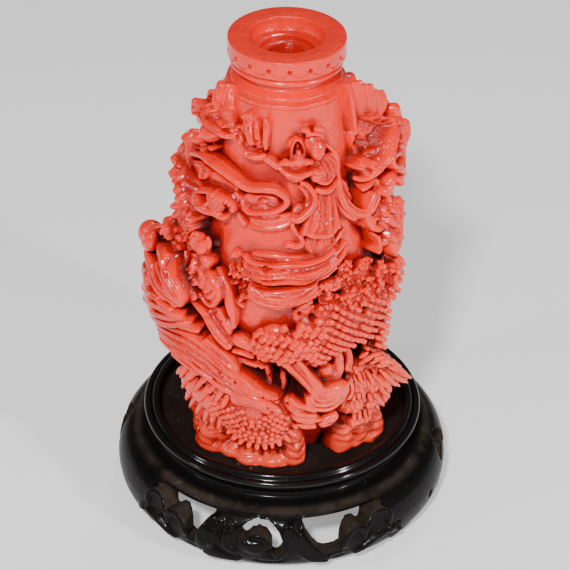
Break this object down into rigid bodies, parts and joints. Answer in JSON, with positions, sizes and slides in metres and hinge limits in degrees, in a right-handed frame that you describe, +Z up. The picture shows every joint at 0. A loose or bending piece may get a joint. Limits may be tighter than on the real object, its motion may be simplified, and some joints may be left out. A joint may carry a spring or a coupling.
{
  "type": "carved coral flask on wooden stand",
  "caption": "Hollow coral flask carved all over with figures, clouds, pines and rocks, with a stepped round mouth, resting on a turned and pierced black wood stand.",
  "frame": {"origin": "middle of the stand's footprint, on the plane its feet stand on", "axes": "+Z up through the flask's mouth, -Y towards the side in the picture, +X to the viewer's right"},
  "size_m": [0.0736, 0.0738, 0.1113],
  "materials": {
    "carved coral": "polished, glossy",
    "black wood": "worn dark lacquer, satin"
  },
  "bodies": {
    "root": {"flask": "carved coral", "stand": "black wood"}
  },
  "joints": []
}
